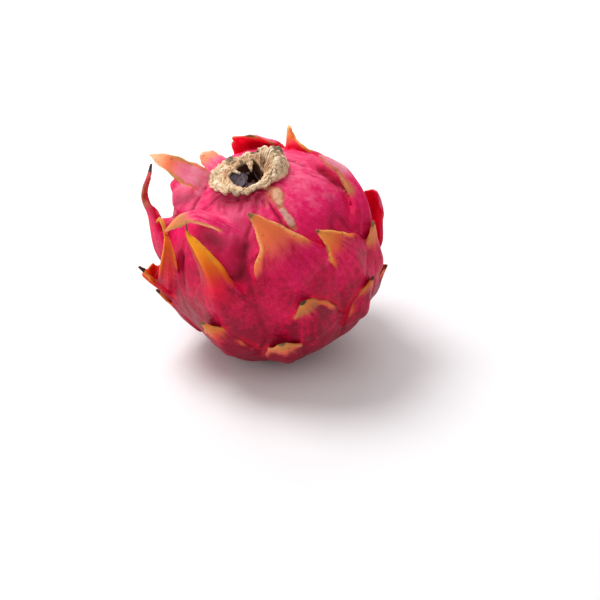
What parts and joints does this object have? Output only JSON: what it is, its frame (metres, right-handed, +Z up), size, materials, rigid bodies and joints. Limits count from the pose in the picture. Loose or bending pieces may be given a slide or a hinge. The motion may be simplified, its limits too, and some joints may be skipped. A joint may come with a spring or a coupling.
{
  "type": "dragon fruit",
  "caption": "Whole ripe dragon fruit with a leathery magenta rind, curling leafy scales and a corky blossom scar.",
  "frame": {"origin": "middle of the flat spot that the fruit rests on", "axes": "+Z up from the surface it rests on; +X to the right and +Y away from a viewer who faces the side with the flame-coloured scales"},
  "size_m": [0.1116, 0.1056, 0.0983],
  "materials": {
    "rind": "satin, waxy"
  },
  "bodies": {
    "root": {"dragon_fruit": "rind"}
  },
  "joints": []
}
